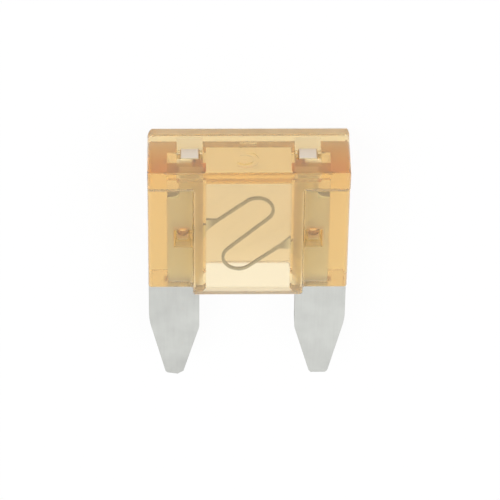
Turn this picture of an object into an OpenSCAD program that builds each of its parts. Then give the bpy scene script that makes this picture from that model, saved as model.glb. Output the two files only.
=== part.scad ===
// Small blade fuse for vehicles: a clear amber moulded housing over one stamped metal strip.
// It lies on its back face. X runs across the two blades, Y along the fuse with the cap at +Y
// and the blades at -Y, and Z up through its thickness.

/* [Housing] */
// Width of the housing
housing_w = 10.9; // [10.8:0.1:12]
// Thickness over the cap
housing_t = 3.8; // [3.4:0.1:4.4]
// Height from the open end to the top of the cap
housing_h = 8.75; // [8.6:0.05:9.6]
// Height of the full-width cap
cap_h = 1.3; // [1.1:0.05:1.7]
// How far the thick middle block laps over each blade
block_lap = 0.35; // [0.15:0.05:0.4]
// Depth of the wings' front faces below the front of the cap and middle block
wing_recess = 0.62; // [0.4:0.02:0.74]
// Depth of the body's flat back below the back of the cap
back_recess = 0.45; // [0.2:0.05:0.6]
// Radius of the upright corners of the cap
cap_corner_r = 0.3; // [0.1:0.05:0.5]
// Larger radius of the cap's back left corner
back_corner_r = 0.55; // [0.1:0.05:0.7]
// Radius along the edges of the top
top_edge_r = 0.18; // [0.06:0.02:0.3]
// Radius under the cap's front edge, where the wings start
ledge_r = 0.3; // [0.1:0.02:0.36]
// Radius where the wings meet the middle block
wing_fillet_r = 0.18; // [0.04:0.02:0.2]

/* [Inside of the housing] */
// Distance from a blade's inner edge to the chamber round the link
chamber_rib = 0.35; // [0.2:0.05:0.5]
// Depth of the chamber from front to back
chamber_t = 2.05; // [1.8:0.05:2.3]
// Thickness of the top wall over the chamber
top_wall = 1.05; // [0.8:0.05:1.2]
// Thickness of the top wall over the strip's slots
slot_wall = 1.15; // [0.9:0.05:1.3]
// Width of each side wall, which rests on a blade's shoulder
side_wall = 1.05; // [0.9:0.05:1.2]
// Bevel round the chamber's open end
mouth_bevel = 0.18; // [0.05:0.01:0.25]
// Width of each test window in the cap
window_w = 1.4; // [1.2:0.05:1.55]
// Depth of each test window from front to back
window_t = 1.8; // [1.4:0.05:2]
// How far each test window reaches in front of the strip's slot
window_front = 0.3; // [0:0.05:0.4]

/* [Stakes] */
// Distance of each stake from its blade's inner edge
stake_in = 0.9; // [0.85:0.01:0.95]
// Height of the stakes above the open end
stake_y = 3.55; // [3.2:0.05:4.2]
// Diameter of the plastic peg through the strip
peg_d = 0.72; // [0.5:0.02:0.8]
// Width of the pressed dimple at its mouth
dimple_w = 0.95; // [0.8:0.05:0.98]
// Height of the pressed dimple at its mouth
dimple_h = 1.25; // [0.9:0.05:1.4]
// Depth of the pressed dimple
dimple_depth = 0.4; // [0.2:0.05:0.5]
// How much each side of the dimple leans in
dimple_draft = 0.16; // [0.04:0.02:0.24]

/* [Strip] */
// Thickness of the stamped strip
strip_t = 0.8; // [0.6:0.05:0.95]
// Width of each blade
blade_w = 2.8; // [2.6:0.05:2.85]
// Length of the longer blade below the housing
blade_l = 7.6; // [6:0.05:9]
// Width of each blade's tip
tip_w = 1.02; // [0.8:0.02:1.4]
// Length of the taper on the inner edge of a blade
inner_taper_l = 3.75; // [2.5:0.05:4.5]
// Length of the taper on the outer edge of a blade
outer_taper_l = 4.3; // [2.5:0.05:4.8]
// Radius where the inner taper starts
inner_taper_r = 1.5; // [0.5:0.1:4]
// Radius where the outer taper starts
outer_taper_r = 5; // [0.5:0.1:7]
// Cut across each corner of a tip
tip_cut = 0.1; // [0.04:0.02:0.2]
// How much shorter the right blade is
tip_short = 0.1; // [0:0.02:0.3]
// Rise of the left tip's end towards its outer corner
tip_slant = 0.18; // [0:0.02:0.3]
// Length of the bevels on both faces of a tip
tip_bevel_l = 0.34; // [0.1:0.02:0.6]
// Depth of those bevels
tip_bevel_t = 0.15; // [0.04:0.01:0.25]
// Width of each test tab
tab_w = 1.05; // [0.9:0.05:1.1]
// Depth of the tabs' ends below the top of the cap
tab_drop = 0.24; // [0.1:0.02:0.6]
// Height of the strip's outer shoulder above the open end
shoulder_y = 6.1; // [5.4:0.05:6.6]
// Rise of the shoulder towards the tab
shoulder_rise = 0.1; // [0:0.02:0.3]
// Radius where the shoulder turns up into the tab
shoulder_r = 0.45; // [0.1:0.05:0.6]

/* [Link] */
// Width of the fusing link
link_w = 0.16; // [0.12:0.01:0.3]
// Thickness of the link and its lugs, which are thinner than the blades
link_t = 0.22; // [0.1:0.02:0.6]
// Radius of the two loops at the link's middle line
loop_r = 0.86; // [0.7:0.01:0.95]
// Height of the link's middle above the open end
link_y = 3.04; // [2.9:0.02:3.8]
// Length of the straight run between the two loops
link_run = 3.12; // [2.8:0.02:3.3]
// Slant of the link's two outer legs
leg_angle = 41; // [38:1:46]
// Reach of each lug from its blade to its point
lug_reach = 0.95; // [0.6:0.05:1.2]

/* [Clearances] */
// Gap between the strip and the walls of its slots
slot_play = 0.025; // [0.01:0.005:0.05]
// Gap between the side walls and the blades' shoulders
seat_play = 0.02; // [0.01:0.01:0.05]

/* [Hidden] */
$fn = 48;
arc_steps = 8;
loop_steps = 20;
over = 1;
dimple_clear = 0.05;

half_w = housing_w / 2;
half_t = housing_t / 2;
blade_out = half_w;
blade_in = blade_out - blade_w;
chamber_half_w = blade_in - chamber_rib;
block_half_w = blade_in + block_lap;
stake_x = blade_in + stake_in;
lug_x = blade_in - lug_reach;
wing_half_t = half_t - wing_recess;
back_half_t = half_t - back_recess;
body_z = back_recess / 2;
cap_y = housing_h - cap_h;
chamber_top = housing_h - top_wall;
slot_top = housing_h - slot_wall;
slot_out = half_w - side_wall;
slot_half_t = strip_t / 2 + slot_play;
tab_x = blade_in + tab_w / 2;
tab_top = housing_h - tab_drop;
strip_out = slot_out - slot_play;
tip_x = blade_out - blade_w / 2;
run_angle = 45;
loop_x = link_run / 2 * cos(run_angle) - loop_r * sin(run_angle);
loop_y = link_run / 2 * sin(run_angle) + loop_r * cos(run_angle);
leg_run = (lug_x + loop_x - loop_r * sin(leg_angle)) / cos(leg_angle);
lug_y = loop_y + loop_r * cos(leg_angle) - leg_run * sin(leg_angle);
lug_rise = link_w / 2 / cos(leg_angle);
lug_root = 0.2;

function unit(v) = v / norm(v);

// Points of the arc that rounds corner p between the directions a and b
function corner_arc(p, a, b, r) =
    let (half = acos(a * b) / 2,
         c = p + unit(a + b) * r / sin(half),
         s = p + a * r / tan(half) - c,
         e = p + b * r / tan(half) - c,
         start = atan2(s[1], s[0]),
         turn = (s[0] * e[1] - s[1] * e[0] > 0 ? 1 : -1) * (180 - 2 * half))
    [for (i = [0:arc_steps]) c + r * [cos(start + turn * i / arc_steps), sin(start + turn * i / arc_steps)]];

// An outline given as corners [x, y, radius]
function rounded(corners) =
    let (n = len(corners))
    [for (i = [0:n - 1])
        let (here = corners[i], before = corners[(i + n - 1) % n], after = corners[(i + 1) % n],
             p = [here[0], here[1]])
        each here[2] == 0 ? [p] : corner_arc(p, unit([before[0], before[1]] - p),
                                             unit([after[0], after[1]] - p), here[2])];

// Puts the fuse on its back face with the origin under the middle of its box
module placed() {
    translate([0, (blade_l - housing_h) / 2, half_t]) children();
}

module both_sides() {
    children();
    mirror([1, 0, 0]) children();
}

// Extrudes an outline in X and Z from y0 to y1
module along_y(y0, y1) {
    translate([0, y1, 0]) rotate([90, 0, 0]) linear_extrude(y1 - y0) children();
}

// Extrudes an outline in Y and Z across the whole width
module along_x(half) {
    translate([-half, 0, 0]) rotate([90, 0, 90]) linear_extrude(2 * half) children();
}

module cap_section() {
    polygon(rounded([
        [-half_w, -half_t, back_corner_r], [half_w, -half_t, cap_corner_r],
        [half_w, half_t, cap_corner_r], [-half_w, half_t, cap_corner_r]]));
}

// Section of the body below the cap: a flat back, a thick middle block and two thinner wings
module body_section() {
    b = block_half_w;
    w = wing_half_t;
    r = wing_fillet_r;
    edge = top_edge_r;
    polygon(rounded([
        [-half_w, -back_half_t, edge], [half_w, -back_half_t, edge],
        [half_w, w, edge], [b, w, r], [b, half_t, edge], [-b, half_t, edge], [-b, w, r], [-half_w, w, edge]]));
}

// Front outline of the housing, rounded at the cap's upper corners
module front_outline() {
    polygon(rounded([
        [-half_w, 0, 0], [half_w, 0, 0],
        [half_w, housing_h, cap_corner_r], [-half_w, housing_h, cap_corner_r]]));
}

// Side outline of the housing, rounded along the cap's upper edges
module side_outline() {
    polygon(rounded([
        [0, -half_t, 0], [housing_h, -half_t, top_edge_r],
        [housing_h, half_t, top_edge_r], [0, half_t, 0]]));
}

// The hollow curve from the wings' front faces up to the cap
module ledge() {
    low = wing_half_t - ledge_r;
    along_x(half_w)
        polygon(concat(corner_arc([cap_y, wing_half_t], [-1, 0], [0, 1], ledge_r),
                       [[cap_y + ledge_r, wing_half_t + ledge_r], [cap_y + ledge_r, low],
                        [cap_y - ledge_r, low]]));
}

module shell() {
    intersection() {
        union() {
            along_y(0, cap_y + cap_h / 2) body_section();
            along_y(cap_y, housing_h) cap_section();
            ledge();
        }
        translate([0, 0, -half_t]) linear_extrude(housing_t) front_outline();
        along_x(half_w) side_outline();
    }
}

// The hollow round the link, open at the lower end, with a bevelled mouth
module chamber() {
    c = chamber_half_w;
    t = chamber_t / 2;
    m = mouth_bevel;
    translate([0, 0, body_z]) intersection() {
        translate([0, 0, -half_t]) linear_extrude(housing_t)
            polygon([[-c - m - over, -over], [c + m + over, -over], [c, m], [c, chamber_top],
                     [-c, chamber_top], [-c, m]]);
        along_x(half_w)
            polygon([[-over, -t - m - over], [m, -t], [chamber_top, -t],
                     [chamber_top, t], [m, t], [-over, t + m + over]]);
    }
}

module strip_slot() {
    translate([-slot_out, -over, -slot_half_t]) cube([2 * slot_out, slot_top + over, 2 * slot_half_t]);
}

module test_window() {
    translate([tab_x - window_w / 2, slot_top - slot_play, slot_half_t + window_front - window_t])
        cube([window_w, slot_wall + over, window_t]);
}

// A square dimple with leaning sides, pressed into a face at height z
module dimple(z) {
    low = z - dimple_depth;
    high = z + dimple_clear;
    lean = dimple_draft * dimple_clear / dimple_depth;
    intersection() {
        along_y(stake_y - dimple_h, stake_y + dimple_h) mirror([0, 1])
            polygon([[stake_x - dimple_w / 2 + dimple_draft, -low], [stake_x + dimple_w / 2 - dimple_draft, -low],
                     [stake_x + dimple_w / 2 + lean, -high], [stake_x - dimple_w / 2 - lean, -high]]);
        along_x(half_w)
            polygon([[stake_y - dimple_h / 2 + dimple_draft, low], [stake_y + dimple_h / 2 - dimple_draft, low],
                     [stake_y + dimple_h / 2 + lean, high], [stake_y - dimple_h / 2 - lean, high]]);
    }
}

// The peg of housing plastic that the dimples press through the strip
module peg() {
    translate([stake_x, stake_y, -slot_half_t - slot_play])
        cylinder(d = peg_d, h = 2 * (slot_half_t + slot_play));
}

module housing() {
    color([0.95, 0.72, 0.38, 0.6]) placed() {
        difference() {
            shell();
            chamber();
            strip_slot();
            both_sides() {
                test_window();
                dimple(wing_half_t);
                mirror([0, 0, 1]) dimple(back_half_t);
            }
        }
        both_sides() peg();
    }
}

// The flat outline of a blade with its notched shoulder and test tab, from the tip's corners on
module blade_outline(tip) {
    polygon(rounded(concat(tip, [
        [blade_out, outer_taper_l - blade_l, outer_taper_r],
        [blade_out, -seat_play, 0], [strip_out, -seat_play, 0],
        [strip_out, shoulder_y, 0], [blade_in + tab_w, shoulder_y + shoulder_rise, shoulder_r],
        [blade_in + tab_w, tab_top, tip_cut], [blade_in, tab_top, tip_cut],
        [blade_in, inner_taper_l - blade_l, inner_taper_r]])));
}

// One blade, bevelled on both faces at its tip and pierced for the peg
module blade(tip, tip_y) {
    t = strip_t / 2;
    difference() {
        intersection() {
            translate([0, 0, -t]) linear_extrude(strip_t) blade_outline(tip);
            along_x(half_w)
                polygon([[tip_y, tip_bevel_t - t], [tip_y + tip_bevel_l, -t], [housing_h, -t],
                         [housing_h, t], [tip_y + tip_bevel_l, t], [tip_y, t - tip_bevel_t]]);
        }
        translate([stake_x, stake_y, -strip_t]) cylinder(d = peg_d + 2 * slot_play, h = 2 * strip_t);
    }
}

// The right blade, with a square tip
module right_blade() {
    low = tip_short - blade_l;
    x0 = tip_x - tip_w / 2;
    x1 = tip_x + tip_w / 2;
    blade([[x0, low + 2 * tip_cut, 0], [x0 + tip_cut, low, 0],
           [x1 - tip_cut, low, 0], [x1, low + 2 * tip_cut, 0]], low);
}

// The left blade, whose tip was cut unevenly
module left_blade() {
    x0 = tip_x - tip_w / 2;
    x1 = tip_x + tip_w / 2;
    mirror([1, 0, 0])
        blade([[x0, tip_slant + 2 * tip_cut - blade_l, 0], [x0 + tip_w / 3, -blade_l, 0],
               [x1 - tip_cut, tip_slant - blade_l, 0], [x1, tip_slant + 2 * tip_cut - blade_l, 0]], -blade_l);
}

// Points of the link's middle line from one lug to the other, each with its normal
function link_line() =
    let (a0 = 90 + leg_angle, turn = 180 + leg_angle - run_angle,
         along = [cos(leg_angle), sin(leg_angle)], away = [cos(a0), sin(a0)])
    concat([[[-lug_x, lug_y] - lug_root * along, away]],
           [for (i = [0:loop_steps]) let (a = a0 - turn * i / loop_steps, n = [cos(a), sin(a)])
               [[loop_x, loop_y] + loop_r * n, n]],
           [for (i = [0:loop_steps]) let (a = a0 - turn + turn * i / loop_steps, n = [cos(a), sin(a)])
               [[-loop_x, -loop_y] - loop_r * n, n]],
           [[[lug_x, -lug_y] + lug_root * along, away]]);

module lug() {
    polygon([[-lug_x, lug_y + lug_rise], [-blade_in - lug_root, lug_y + lug_rise],
             [-blade_in - lug_root, lug_y - lug_rise - lug_reach], [-blade_in, lug_y - lug_rise - lug_reach],
             [-lug_x, lug_y - lug_rise]]);
}

// The S-shaped fusing link, stamped and thinned from the same strip, with a lug at each blade
module link() {
    line = link_line();
    last = len(line) - 1;
    translate([0, link_y, 0]) linear_extrude(link_t, center = true) {
        polygon(concat([for (p = line) p[0] + link_w / 2 * p[1]],
                       [for (i = [0:last]) line[last - i][0] - link_w / 2 * line[last - i][1]]));
        lug();
        rotate(180) lug();
    }
}

module fuse_element() {
    color([0.78, 0.79, 0.77]) placed() {
        right_blade();
        left_blade();
        link();
    }
}

housing();
fuse_element();
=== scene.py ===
import math

import bpy
from mathutils import Matrix, Vector


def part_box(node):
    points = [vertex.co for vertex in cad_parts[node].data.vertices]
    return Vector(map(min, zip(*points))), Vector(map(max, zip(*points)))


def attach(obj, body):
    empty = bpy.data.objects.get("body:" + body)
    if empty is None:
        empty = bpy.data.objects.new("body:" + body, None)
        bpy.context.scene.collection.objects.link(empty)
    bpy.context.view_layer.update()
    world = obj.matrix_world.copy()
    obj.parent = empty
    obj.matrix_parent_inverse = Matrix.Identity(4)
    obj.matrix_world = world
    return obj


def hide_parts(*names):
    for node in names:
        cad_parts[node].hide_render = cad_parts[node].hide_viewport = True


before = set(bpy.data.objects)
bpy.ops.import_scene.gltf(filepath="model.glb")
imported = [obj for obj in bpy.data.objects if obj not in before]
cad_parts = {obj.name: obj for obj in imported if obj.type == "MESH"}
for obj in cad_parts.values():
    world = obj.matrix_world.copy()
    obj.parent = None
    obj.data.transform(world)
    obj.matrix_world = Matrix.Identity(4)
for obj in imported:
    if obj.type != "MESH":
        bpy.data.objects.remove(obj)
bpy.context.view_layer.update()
print("frame loaded:", sorted(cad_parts))

mm = 0.001
housingLow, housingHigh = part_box("housing")
stripLow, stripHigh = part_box("fuse_element")
capTopY = housingHigh.y
openEndY = housingLow.y
stripZ = (stripLow.z + stripHigh.z) / 2


def deselectAll():
    if bpy.context.object and bpy.context.object.mode != "OBJECT":
        bpy.ops.object.mode_set(mode="OBJECT")
    bpy.ops.object.select_all(action="DESELECT")


def makeActive(thing):
    deselectAll()
    thing.select_set(True)
    bpy.context.view_layer.objects.active = thing


def applyModifier(thing, kind, **settings):
    makeActive(thing)
    modifier = thing.modifiers.new(kind.lower(), kind)
    for key, value in settings.items():
        setattr(modifier, key, value)
    bpy.ops.object.modifier_apply(modifier=modifier.name)


# distances in metres, angles in degrees
meshCare = {"merge": 1e-7, "flatAngle": 0.2, "smoothAngle": 30, "faceWeight": 100}


def copyOfNode(nodeName, pieceName):
    # a merged copy of a CAD node with its flat faces made whole again
    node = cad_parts[nodeName]
    piece = bpy.data.objects.new(pieceName, node.data.copy())
    bpy.context.scene.collection.objects.link(piece)
    piece.data.materials.clear()
    makeActive(piece)
    bpy.ops.object.mode_set(mode="EDIT")
    bpy.ops.mesh.select_all(action="SELECT")
    bpy.ops.mesh.remove_doubles(threshold=meshCare["merge"])
    bpy.ops.mesh.dissolve_limited(angle_limit=math.radians(meshCare["flatAngle"]))
    bpy.ops.mesh.normals_make_consistent(inside=False)
    bpy.ops.object.mode_set(mode="OBJECT")
    return piece


def smoothEdges(piece):
    # rounds the shading over bevels and keeps the large faces flat
    makeActive(piece)
    bpy.ops.object.shade_smooth_by_angle(angle=math.radians(meshCare["smoothAngle"]))
    applyModifier(piece, "WEIGHTED_NORMAL", mode="FACE_AREA", weight=meshCare["faceWeight"],
                  keep_sharp=True)


# a Wire is one output socket, and sums on wires add Math nodes
class Wire:
    def __init__(self, tree, socket):
        self.tree = tree
        self.socket = socket

    def math(self, operation, *others, reverse=False):
        node = self.tree.nodes.new("ShaderNodeMath")
        node.operation = operation
        values = [self, *others]
        if reverse:
            values.reverse()
        for place, value in enumerate(values):
            plug(self.tree, node.inputs[place], value)
        return Wire(self.tree, node.outputs[0])

    def __add__(self, other):
        return self.math("ADD", other)

    def __sub__(self, other):
        return self.math("SUBTRACT", other)

    def __rsub__(self, other):
        return self.math("SUBTRACT", other, reverse=True)

    def __mul__(self, other):
        return self.math("MULTIPLY", other)

    def __gt__(self, other):
        return self.math("GREATER_THAN", other)

    def __lt__(self, other):
        return self.math("LESS_THAN", other)

    __radd__ = __add__
    __rmul__ = __mul__

    def size(self):
        return self.math("ABSOLUTE")

    def part(self, name):
        return Wire(self.tree, self.socket.node.outputs[name])


def plug(tree, socket, value):
    if isinstance(value, Wire):
        tree.links.new(value.socket, socket)
    else:
        socket.default_value = value


class Finish:
    # one node material, with a method that adds any node
    def __init__(self, name):
        self.material = bpy.data.materials.new(name)
        self.material.use_nodes = True
        self.tree = self.material.node_tree
        self.tree.nodes.clear()

    def node(self, kind, settings=None, output=0, **values):
        made = self.tree.nodes.new("ShaderNode" + kind)
        for key, value in (settings or {}).items():
            setattr(made, key, value)
        for key, value in values.items():
            place = int(key[1:]) if key[0] == "_" else key.replace("_", " ")
            plug(self.tree, made.inputs[place], value)
        return Wire(self.tree, made.outputs[output])

    def objectPoint(self):
        return self.node("TexCoord", output="Object")

    def noise(self, point, scale, detail=2.0, roughness=0.5, distortion=0.0):
        return self.node("TexNoise", Vector=point, Scale=scale, Detail=detail,
                         Roughness=roughness, Distortion=distortion)

    def stretched(self, point, scale):
        return self.node("Mapping", Vector=point, Scale=scale)

    def ramp(self, factor, low, high, fromValue=0.0, toValue=1.0):
        return self.node("MapRange", {"clamp": True}, _0=factor, _1=low, _2=high,
                         _3=fromValue, _4=toValue)

    def mixColour(self, factor, first, second):
        made = self.tree.nodes.new("ShaderNodeMix")
        made.data_type = "RGBA"
        plug(self.tree, made.inputs[0], factor)
        plug(self.tree, made.inputs[6], first)
        plug(self.tree, made.inputs[7], second)
        return Wire(self.tree, made.outputs[2])

    def bump(self, height, strength, distance):
        return self.node("Bump", Height=height, Strength=strength, Distance=distance)

    def output(self, surface, volume=None):
        out = self.tree.nodes.new("ShaderNodeOutputMaterial")
        plug(self.tree, out.inputs["Surface"], surface)
        if volume is not None:
            plug(self.tree, out.inputs["Volume"], volume)
        return self.material


# clear amber plastic: where each look starts and ends is in the part's own frame
amber = {
    "index": 1.58,
    "keeps": (0.995, 0.775, 0.12, 1.0),  # share of red, green and blue that the tint keeps
    "density": 560.0,
    "body": (1.0, 0.95, 0.85, 1.0),
    "clearShare": 0.93,
    "roughness": 0.05,
    "smeared": 2.6,  # times rougher in the dulled patches
    "smearScale": 420.0,
    "smearFrom": 0.35,
    "smearTo": 0.75,
    "flowScale": (260.0, 90.0, 260.0),
    "flowTwist": 0.6,
    "grainScale": 2600.0,
    "flowShare": 0.8,
    "bumpStrength": 0.35,
    "bumpDepth": 0.02 * mm,
    "matt": 0.70,
    # painted light: orange tone on the stake dimples, standing in for light refracted through them
    "stakePaintedLight": (1.0, 0.83, 0.68, 1.0),
    "stake": (3.55 * mm, 2.9 * mm),
    "stakeReach": 0.62 * mm,
    "stakeCore": 0.6,
    "backHeight": 0.6 * mm,
    "slotHalfDepth": 0.47 * mm,
    "slotNear": 2.45 * mm,
    "slotFar": 4.6 * mm,
    "shoulderY": 5.5 * mm,
    "blockHalfWidth": 3.02 * mm,
    "openEndReach": 0.25 * mm,
    "ledgeY": 6.72 * mm,
    "ledgeReach": 0.22 * mm,
    "ledgeZ": 3.05 * mm,
    "tabFar": 3.75 * mm,
}


def makeAmberPlastic():
    # long ways through the plastic turn from pale yellow to orange, the stake dimples get a painted
    # orange tone that stands in for light refracted through them, and the moulded back, the slots'
    # walls, the lower end and the ledge are matt
    f = Finish("amberPlastic")
    point = f.objectPoint()
    flow = f.noise(f.stretched(point, amber["flowScale"]), 1.0, distortion=amber["flowTwist"])
    grain = f.noise(point, amber["grainScale"], 3.0)
    smears = f.noise(point, amber["smearScale"], 3.0)
    roughness = f.ramp(smears, amber["smearFrom"], amber["smearTo"],
                       amber["roughness"], amber["roughness"] * amber["smeared"])
    place = f.node("SeparateXYZ", _0=point)
    # painted light: an orange tone on the stake dimples stands in for the light refracted through them
    offStake = (place.size() - amber["stake"][0]).size().math(
        "MAXIMUM", (place.part("Y") - amber["stake"][1]).size())
    onStake = f.ramp(offStake, amber["stakeReach"] * amber["stakeCore"], amber["stakeReach"], 1.0, 0.0)
    colour = f.mixColour(onStake, amber["body"], amber["stakePaintedLight"])
    back = place.part("Z") < amber["backHeight"]
    inDepth = (place.part("Z") - stripZ).size() < amber["slotHalfDepth"]
    inWidth = (place.size() > amber["slotNear"]) * (place.size() < amber["slotFar"])
    byMetal = (place.part("Y") < amber["shoulderY"]).math("MAXIMUM", place.size() < amber["tabFar"])
    inBlock = place.size() < amber["blockHalfWidth"]
    openEnd = (place.part("Y") < openEndY + amber["openEndReach"]) * inBlock
    byLedge = (place.part("Y") - amber["ledgeY"]).size() < amber["ledgeReach"]
    ledge = byLedge * (place.part("Z") > amber["ledgeZ"]) * (1.0 - inBlock)
    slots = inDepth * inWidth * byMetal
    matt = back.math("MAXIMUM", slots).math("MAXIMUM", openEnd).math("MAXIMUM", ledge)
    roughness = roughness + matt * (amber["matt"] - roughness)
    relief = flow * amber["flowShare"] + grain * (1.0 - amber["flowShare"])
    normal = f.bump(relief, amber["bumpStrength"], amber["bumpDepth"])
    surface = f.node("BsdfPrincipled", Base_Color=colour, Roughness=roughness,
                     IOR=amber["index"], Transmission_Weight=amber["clearShare"], Normal=normal)
    volume = f.node("VolumeAbsorption", Color=amber["keeps"], Density=amber["density"])
    return f.output(surface, volume)


# dull tin plate
tin = {
    "light": (0.65, 0.66, 0.63, 1.0),
    "dark": (0.55, 0.555, 0.53, 1.0),
    "cutEdge": (0.33, 0.32, 0.29, 1.0),
    # painted highlight: light, warm colour for the top ends of the tabs
    "tabEndPaintedHighlight": (0.80, 0.71, 0.60, 1.0),
    "link": (0.37, 0.35, 0.25, 1.0),
    # painted light: lighter, greener tin colour for the strip inside the housing
    "paintedLightInside": (0.91, 0.97, 0.92, 1.0),
    "roughness": (0.38, 0.56),
    "roughnessFrom": 0.3,
    "roughnessTo": 0.7,
    "edgeRoughness": 0.08,
    "edgeShare": 0.75,
    "edgeFrom": 0.35,
    "edgeTo": 0.7,
    "toneFrom": 0.38,
    "toneTo": 0.62,
    "rolledScale": (9000.0, 500.0, 9000.0),
    "blotchScale": 900.0,
    "cloudScale": 260.0,
    "bumpStrength": 0.3,
    "bumpDepth": 0.01 * mm,
    "linkReach": 1.9 * mm,
    "linkFade": 0.5 * mm,
    "paintedLightInsideFrom": 0.4 * mm,
    "tabHighlightBelowTop": 0.5 * mm,
}


def makeTinnedMetal():
    # rolled grain along the blades, pale blotches, darker sheared edges and link; inside the housing
    # the strip is painted lighter and greener, as painted light standing in for how it is lit through
    # the plastic, and the tab ends carry a painted warm highlight
    f = Finish("tinnedMetal")
    point = f.objectPoint()
    rolled = f.noise(f.stretched(point, tin["rolledScale"]), 1.0, 3.0, 0.6)
    blotches = f.noise(point, tin["blotchScale"], 4.0, 0.6)
    clouds = f.noise(point, tin["cloudScale"])
    facing = f.node("SeparateXYZ", _0=f.node("NewGeometry", output="Normal")).part("Z").size()
    edge = 1.0 - f.ramp(facing, tin["edgeFrom"], tin["edgeTo"])
    tone = f.ramp(clouds * 0.5 + blotches * 0.3 + rolled * 0.2, tin["toneFrom"], tin["toneTo"])
    colour = f.mixColour(tone, tin["dark"], tin["light"])
    colour = f.mixColour(edge * tin["edgeShare"], colour, tin["cutEdge"])
    place = f.node("SeparateXYZ", _0=point)
    # painted light: the strip inside the housing gets a much lighter, greener copy of the tin colour,
    # standing in for how it looks lit through the amber plastic
    paintedLightInside = f.ramp(place.part("Y"), openEndY, openEndY + tin["paintedLightInsideFrom"])
    colour = f.mixColour(paintedLightInside * (1.0 - edge), colour, tin["paintedLightInside"])
    # painted highlight: the top ends of the tabs are painted light and warm, standing in for the
    # highlight and the amber-tinted light they catch
    tabEndPaintedHighlight = (place.part("Y") > capTopY - tin["tabHighlightBelowTop"]) * edge
    colour = f.mixColour(tabEndPaintedHighlight, colour, tin["tabEndPaintedHighlight"])
    inLink = f.ramp(place.size(), tin["linkReach"], tin["linkReach"] + tin["linkFade"], 1.0, 0.0)
    colour = f.mixColour(inLink, colour, tin["link"])
    wear = f.ramp(rolled * 0.4 + blotches * 0.6, tin["roughnessFrom"], tin["roughnessTo"],
                  *tin["roughness"])
    roughness = wear + edge * tin["edgeRoughness"]
    normal = f.bump(rolled * 0.7 + blotches * 0.5, tin["bumpStrength"], tin["bumpDepth"])
    surface = f.node("BsdfPrincipled", Base_Color=colour, Metallic=1.0, Roughness=roughness,
                     Normal=normal)
    return f.output(surface)


housingForm = {"bevel": 0.045 * mm, "steps": 2, "bevelAngle": 50}
# the text is drawn large, cleaned at that size and then scaled to the engraving
numeral = {"text": "5", "width": 1.15 * mm, "height": 2.05 * mm, "depth": 0.05 * mm,
           "across": -0.05 * mm, "up": 2.3 * mm, "curveSteps": 6, "drawnDepth": 0.2, "drawnMerge": 1e-5}


def makeNumeralCutter():
    # a plain number that stands upright on the end of the cap, as a closed mesh
    deselectAll()
    bpy.ops.object.text_add(location=(0, 0, 0))
    cutter = bpy.context.object
    cutter.name = "numeralCutter"
    cutter.data.body = numeral["text"]
    cutter.data.align_x = "CENTER"
    cutter.data.align_y = "CENTER"
    cutter.data.resolution_u = numeral["curveSteps"]
    cutter.data.extrude = numeral["drawnDepth"]
    makeActive(cutter)
    bpy.ops.object.convert(target="MESH")
    bpy.ops.object.mode_set(mode="EDIT")
    bpy.ops.mesh.select_all(action="SELECT")
    bpy.ops.mesh.remove_doubles(threshold=numeral["drawnMerge"])
    bpy.ops.mesh.normals_make_consistent(inside=False)
    bpy.ops.object.mode_set(mode="OBJECT")
    xs = [vertex.co.x for vertex in cutter.data.vertices]
    ys = [vertex.co.y for vertex in cutter.data.vertices]
    middle = Vector(((max(xs) + min(xs)) / 2, (max(ys) + min(ys)) / 2, 0))
    scale = Matrix.Diagonal((numeral["width"] / (max(xs) - min(xs)),
                             numeral["height"] / (max(ys) - min(ys)),
                             numeral["depth"] / numeral["drawnDepth"], 1))
    place = Matrix.Translation((numeral["across"], capTopY, numeral["up"]))
    turn = Matrix.Rotation(-math.pi / 2, 4, "X")
    cutter.data.transform(place @ turn @ scale @ Matrix.Translation(-middle))
    return cutter


def makeHousing():
    piece = copyOfNode("housing", "housingMoulding")
    cutter = makeNumeralCutter()
    applyModifier(piece, "BOOLEAN", operation="DIFFERENCE", solver="EXACT", object=cutter)
    bpy.data.objects.remove(cutter)
    applyModifier(piece, "BEVEL", width=housingForm["bevel"], segments=housingForm["steps"],
                  limit_method="ANGLE", angle_limit=math.radians(housingForm["bevelAngle"]),
                  use_clamp_overlap=True)
    smoothEdges(piece)
    piece.data.materials.append(makeAmberPlastic())
    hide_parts("housing")
    return piece


stripForm = {"bevel": 0.03 * mm, "steps": 2, "bevelAngle": 50, "thinReach": 2.6 * mm,
             "thinShare": 0.6}


def thinLink(piece):
    # the photo shows the link and its lugs thinner than the CAD strip has them
    for vertex in piece.data.vertices:
        if abs(vertex.co.x) < stripForm["thinReach"]:
            vertex.co.z = stripZ + (vertex.co.z - stripZ) * stripForm["thinShare"]


def makeStrip():
    piece = copyOfNode("fuse_element", "stampedStrip")
    thinLink(piece)
    applyModifier(piece, "BEVEL", width=stripForm["bevel"], segments=stripForm["steps"],
                  limit_method="ANGLE", angle_limit=math.radians(stripForm["bevelAngle"]),
                  use_clamp_overlap=True)
    smoothEdges(piece)
    piece.data.materials.append(makeTinnedMetal())
    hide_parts("fuse_element")
    return piece


housingPiece = makeHousing()
stripPiece = makeStrip()
for piece in (housingPiece, stripPiece):
    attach(piece, "root")
print("pieces made")

floorLook = {"size": 1.2, "drop": 0.02 * mm, "glow": 0.93, "colour": (0.86, 0.86, 0.86, 1.0)}


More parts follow.
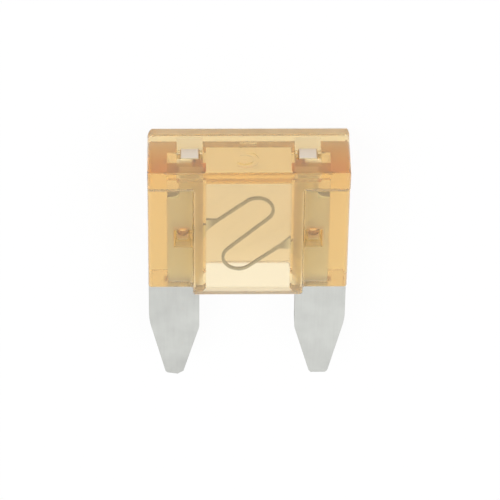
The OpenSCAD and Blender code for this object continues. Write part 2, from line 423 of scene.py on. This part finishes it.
def makeFloor():
    deselectAll()
    bpy.ops.mesh.primitive_plane_add(size=floorLook["size"], location=(0, 0, -floorLook["drop"]))
    floor = bpy.context.object
    floor.name = "floor"
    f = Finish("paleFloor")
    path = f.node("LightPath", output="Is Camera Ray")
    seen = path.math("MAXIMUM", path.part("Is Transmission Ray"))
    seen = seen.math("MAXIMUM", path.part("Is Glossy Ray"))
    plain = f.node("BsdfDiffuse", Color=floorLook["colour"])
    white = f.node("Emission", Color=(1.0, 1.0, 1.0, 1.0), Strength=1.0)
    surface = f.node("MixShader", _0=seen * floorLook["glow"], _1=plain, _2=white)
    floor.data.materials.append(f.output(surface))


roomLook = {"level": 0.97, "white": (1.0, 1.0, 1.0, 1.0)}


def makeRoom():
    world = bpy.data.worlds.new("softRoom")
    bpy.context.scene.world = world
    world.use_nodes = True
    tree = world.node_tree
    tree.nodes.clear()
    out = tree.nodes.new("ShaderNodeOutputWorld")
    path = Wire(tree, tree.nodes.new("ShaderNodeLightPath").outputs["Is Camera Ray"])
    seen = path.math("MAXIMUM", path.part("Is Transmission Ray"))
    backdrop = tree.nodes.new("ShaderNodeBackground")
    plug(tree, backdrop.inputs["Color"], roomLook["white"])
    plug(tree, backdrop.inputs["Strength"], seen * (1.0 - roomLook["level"]) + roomLook["level"])
    tree.links.new(backdrop.outputs[0], out.inputs["Surface"])


# softboxes: place in metres, aimed at the fuse, size in metres and power in watts
lamps = {
    "keyBox": {"place": (-0.30, 0.16, 0.50), "size": 0.40, "power": 0.85},
    "fillBox": {"place": (0.42, -0.10, 0.42), "size": 0.40, "power": 0.55},
}


def makeLamps():
    for name, look in lamps.items():
        data = bpy.data.lights.new(name, "AREA")
        data.shape = "SQUARE"
        data.size = look["size"]
        data.energy = look["power"]
        lamp = bpy.data.objects.new(name, data)
        bpy.context.scene.collection.objects.link(lamp)
        lamp.location = look["place"]
        lamp.rotation_euler = (-Vector(look["place"])).to_track_quat("-Z", "Y").to_euler()


# the photo's camera: turns in degrees, the fuse's shift from the middle of the view in millimetres
photoCamera = {"tilt": 41.871, "lean": 1.047, "roll": 0.173, "across": -0.173, "up": 0.54,
               "distance": 201.35, "lens": 261.1, "sensor": 36.0}


def makeCamera():
    data = bpy.data.cameras.new("photoCamera")
    camera = bpy.data.objects.new("photoCamera", data)
    bpy.context.scene.collection.objects.link(camera)
    look = photoCamera
    turn = (Matrix.Rotation(math.radians(look["roll"]), 3, "Z")
            @ Matrix.Rotation(math.radians(look["lean"]), 3, "Y")
            @ Matrix.Rotation(math.radians(look["tilt"]), 3, "X")).transposed()
    eye = turn @ Vector((-look["across"], -look["up"], look["distance"])) * mm
    camera.matrix_world = Matrix.Translation(eye) @ turn.to_4x4()
    data.lens = look["lens"]
    data.sensor_width = look["sensor"]
    data.clip_start = 0.01
    data.clip_end = 10.0
    bpy.context.scene.camera = camera


makeFloor()
makeRoom()
makeLamps()
makeCamera()
bpy.context.scene.view_settings.view_transform = "Standard"
print("stage, lamps and camera made")
